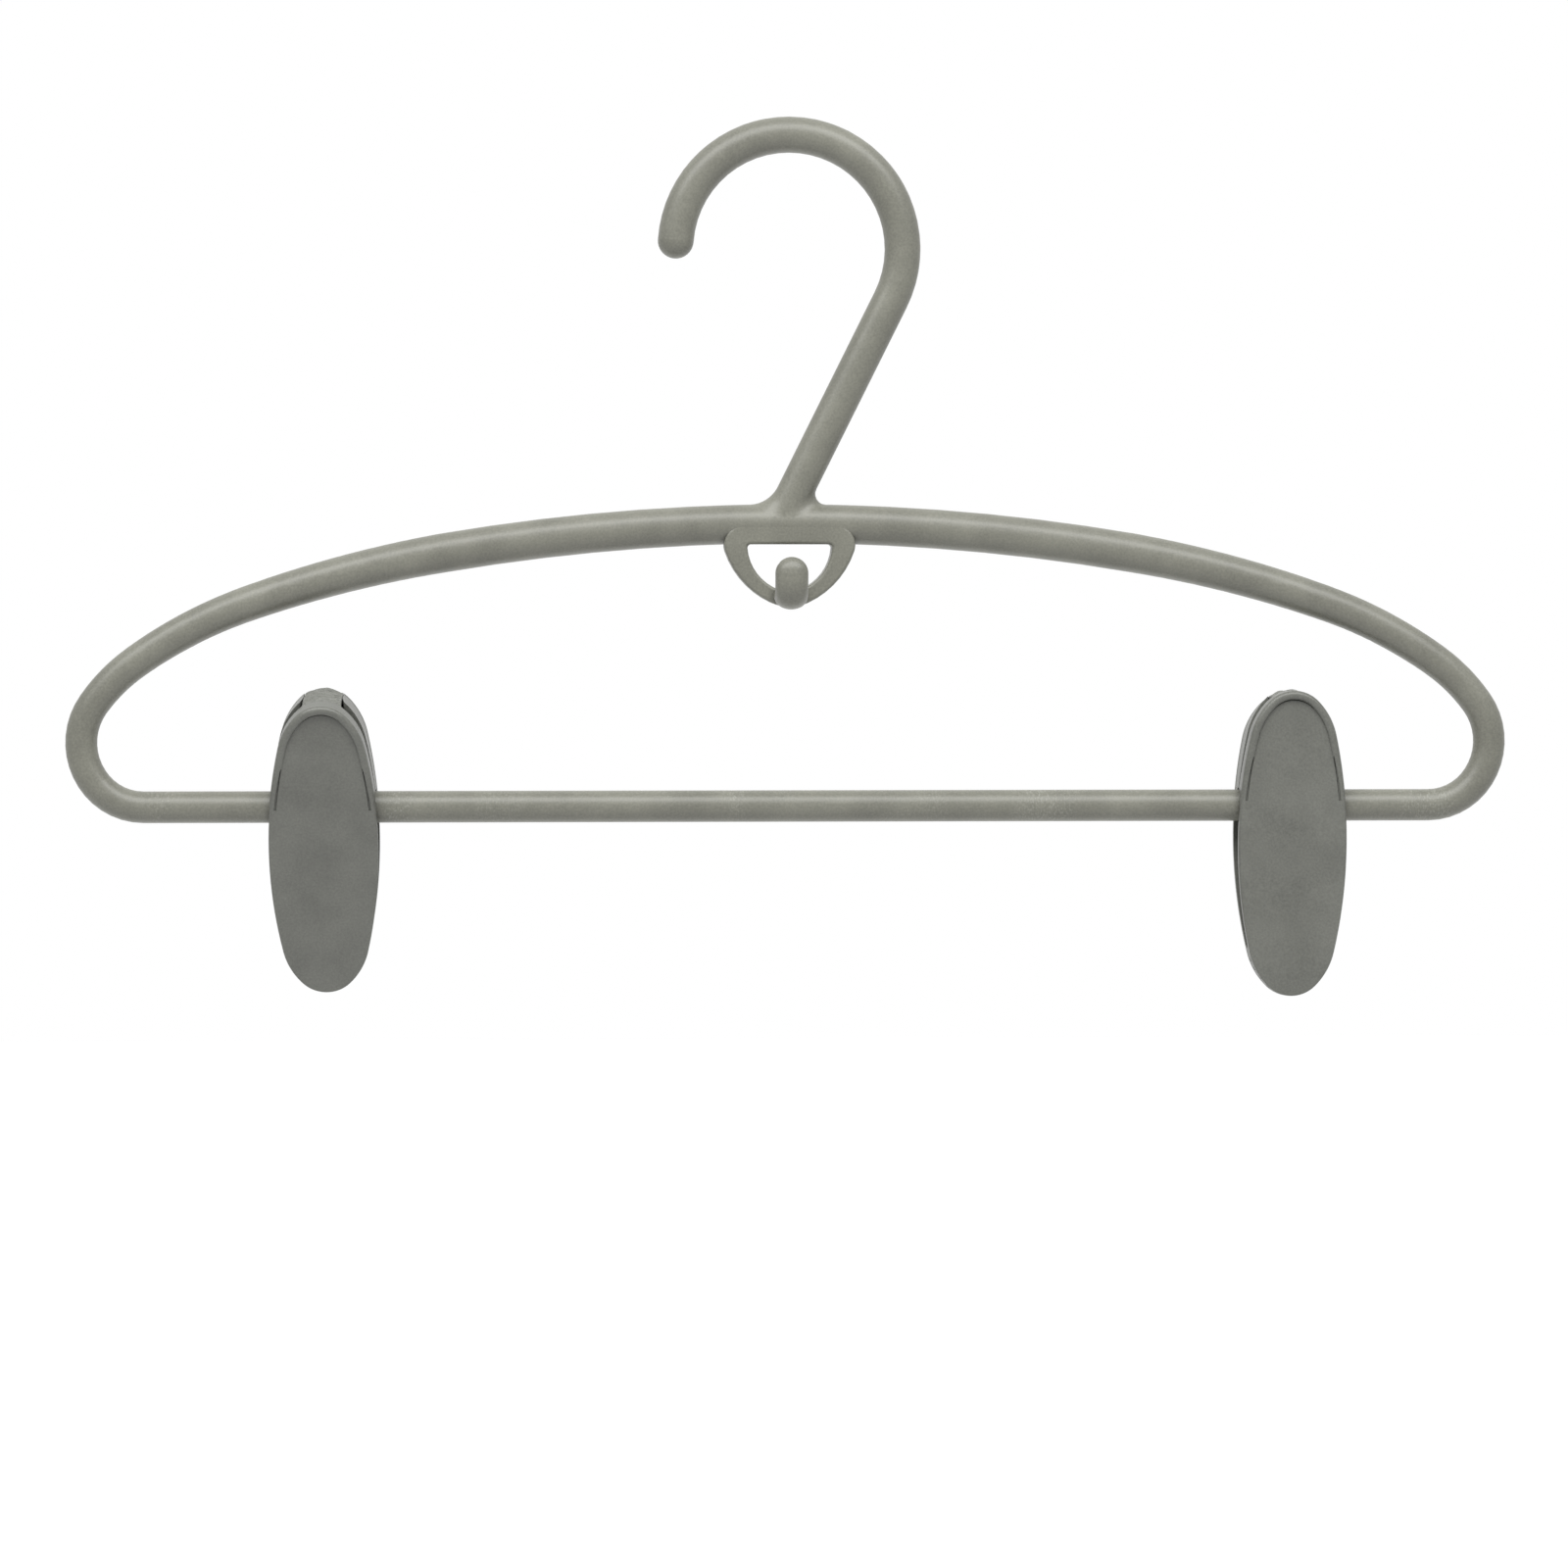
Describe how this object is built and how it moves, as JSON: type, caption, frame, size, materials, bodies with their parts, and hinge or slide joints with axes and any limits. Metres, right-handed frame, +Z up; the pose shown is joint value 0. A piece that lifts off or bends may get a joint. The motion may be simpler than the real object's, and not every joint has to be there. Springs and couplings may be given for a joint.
{
  "type": "skirt hanger",
  "caption": "Plastic skirt hanger: a bent rod frame with a rail hook, a small link hook on a ring under the neck, and sprung clips that slide and tilt on the lower bar.",
  "frame": {"origin": "rail seat: the underside of the hook's crown, where the rail touches it", "axes": "+X along the bar to the right as seen from the link hook's side, +Y to the back, +Z up"},
  "size_m": [0.31, 0.0279, 0.189],
  "materials": {
    "frame_plastic": "satin",
    "clip_plastic": "satin",
    "strap_plastic": "satin",
    "sleeve_plastic": "satin",
    "spring_steel": "drawn"
  },
  "bodies": {
    "hanger": {"hanger_frame": "frame_plastic"},
    "left_slider": {"left_bar_sleeve": "sleeve_plastic"},
    "left_clip": {"left_back_jaw": "clip_plastic", "left_top_strap": "strap_plastic", "left_clip_spring": "spring_steel"},
    "left_lever": {"left_front_jaw": "clip_plastic"},
    "right_slider": {"right_bar_sleeve": "sleeve_plastic"},
    "right_clip": {"right_back_jaw": "clip_plastic", "right_top_strap": "strap_plastic", "right_clip_spring": "spring_steel"},
    "right_lever": {"right_front_jaw": "clip_plastic"}
  },
  "joints": [
    {"name": "left_clip_slide", "type": "slide", "parent": "hanger", "child": "left_slider", "axis": [1, 0, 0], "range_m": [-0.0259, 0.0874]},
    {"name": "left_clip_tilt", "type": "hinge", "parent": "left_slider", "child": "left_clip", "pos_m": [-0.0999, 0, -0.14003], "axis": [1, 0, 0], "range_deg": [-102.5, 77.5]},
    {"name": "left_jaw_squeeze", "type": "hinge", "parent": "left_clip", "child": "left_lever", "pos_m": [-0.0999, 0, -0.14003], "axis": [-1, 0, 0], "range_deg": [0, 5.5], "stiffness_Nm_per_rad": 0.3, "springref_deg": -0.57, "deforming": ["left_clip_spring", "left_top_strap"]},
    {"name": "right_clip_slide", "type": "slide", "parent": "hanger", "child": "right_slider", "axis": [1, 0, 0], "range_m": [-0.0958, 0.0175]},
    {"name": "right_clip_tilt", "type": "hinge", "parent": "right_slider", "child": "right_clip", "pos_m": [0.1083, 0, -0.14003], "axis": [1, 0, 0], "range_deg": [-86, 94]},
    {"name": "right_jaw_squeeze", "type": "hinge", "parent": "right_clip", "child": "right_lever", "pos_m": [0.1083, 0, -0.14003], "axis": [-1, 0, 0], "range_deg": [0, 5.5], "stiffness_Nm_per_rad": 0.3, "springref_deg": -0.57, "deforming": ["right_clip_spring", "right_top_strap"]}
  ]
}
